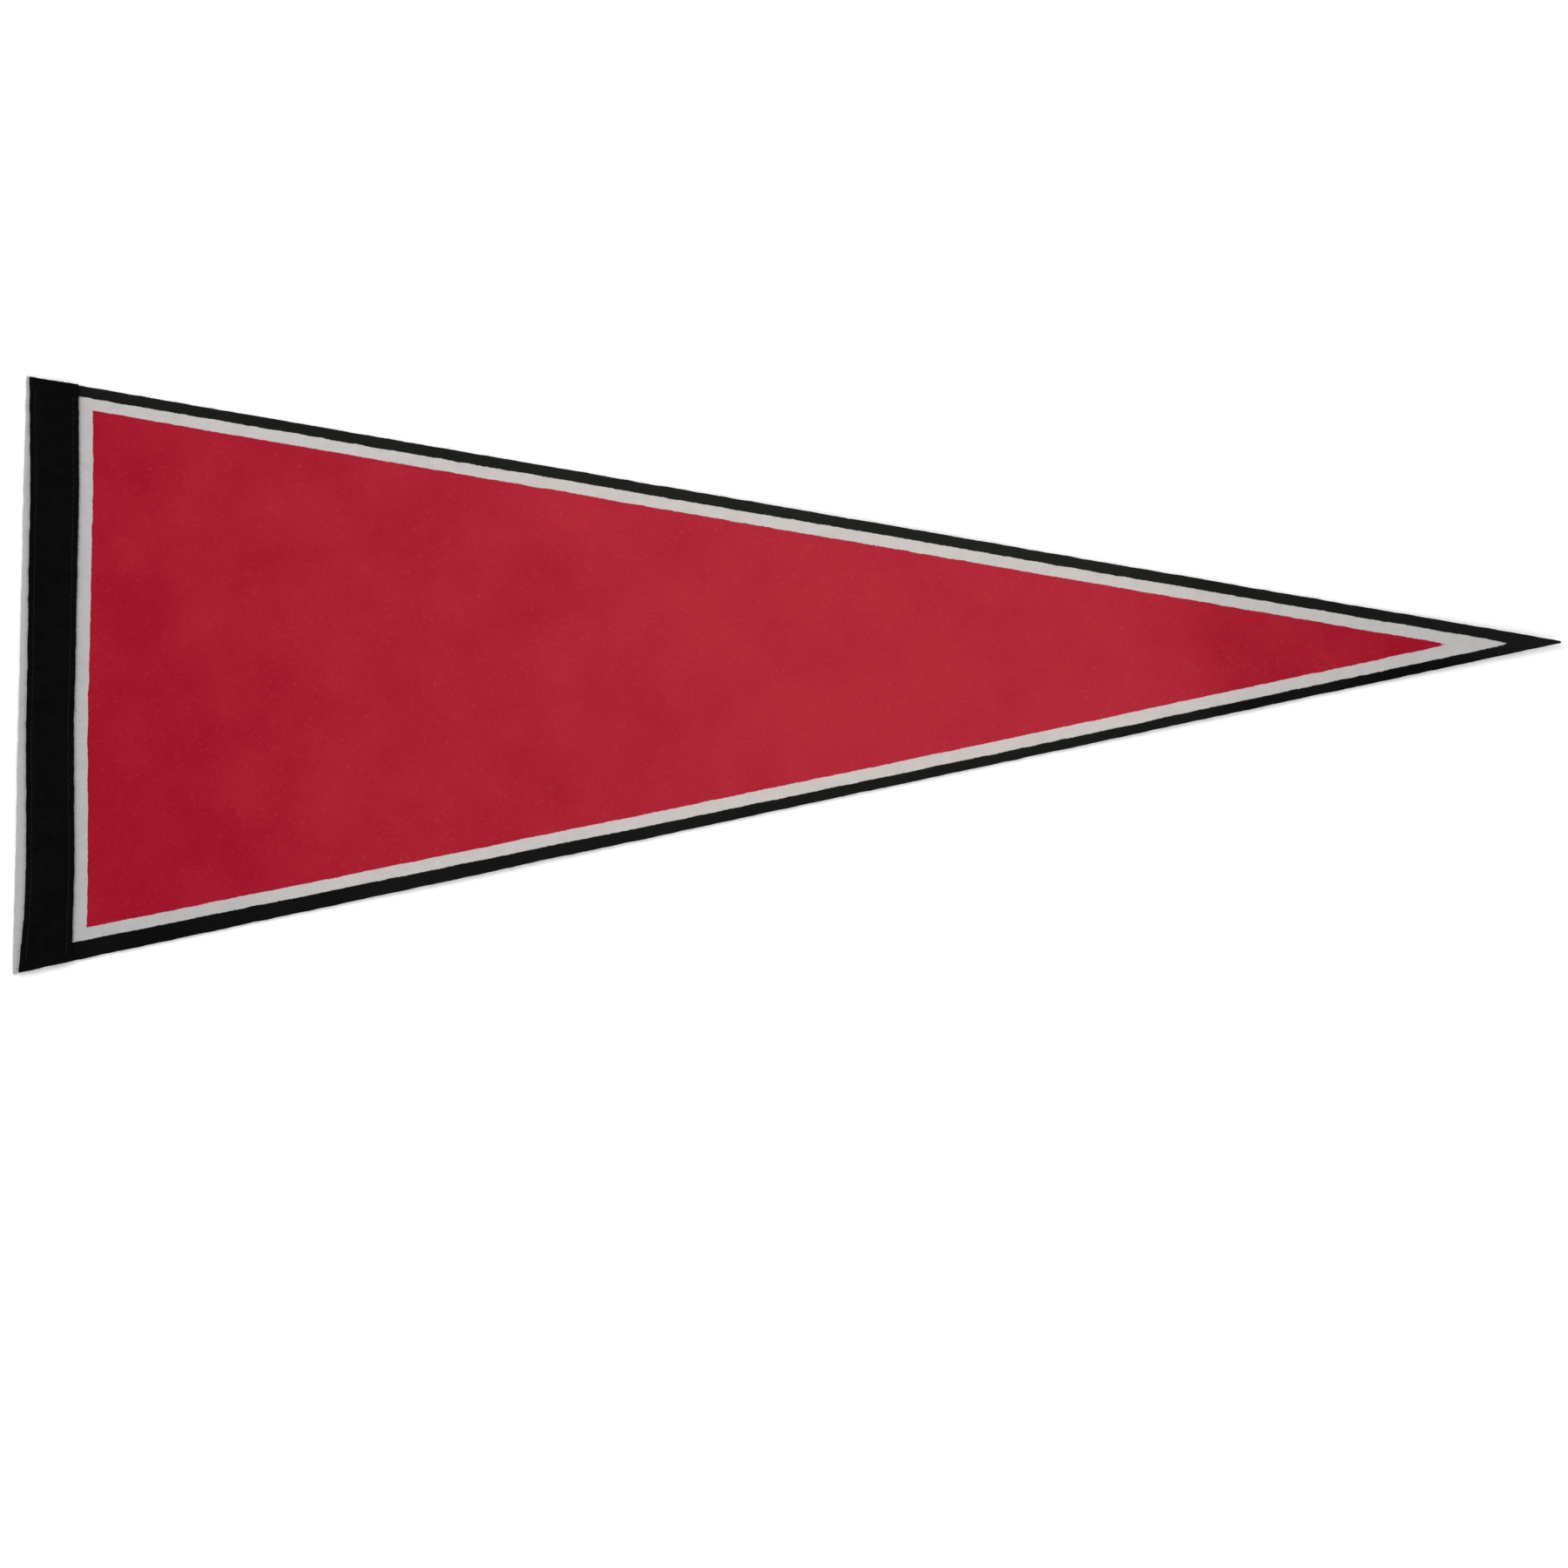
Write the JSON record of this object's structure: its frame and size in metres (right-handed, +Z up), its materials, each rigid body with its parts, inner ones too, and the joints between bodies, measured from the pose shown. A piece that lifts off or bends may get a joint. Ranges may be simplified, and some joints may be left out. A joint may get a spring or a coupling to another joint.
{
  "type": "pennant flag",
  "caption": "Long triangular felt pennant lying flat, red field with a white keyline and black border, and a sewn black heading strip along the hoist.",
  "frame": {"origin": "on the surface the pennant lies on, under the middle of its bounding box", "axes": "+X from the hoist to the tip, +Y from the foot of the hoist to its head, +Z up from the surface, out of the printed front"},
  "size_m": [0.7816, 0.3014, 0.0045],
  "materials": {
    "printed_felt": "printed felt",
    "black_felt": "napped felt",
    "white_felt": "napped felt",
    "black_thread": "twisted sewing thread"
  },
  "bodies": {
    "root": {"felt_panel": "printed_felt", "heading_strip": "black_felt"}
  },
  "joints": []
}
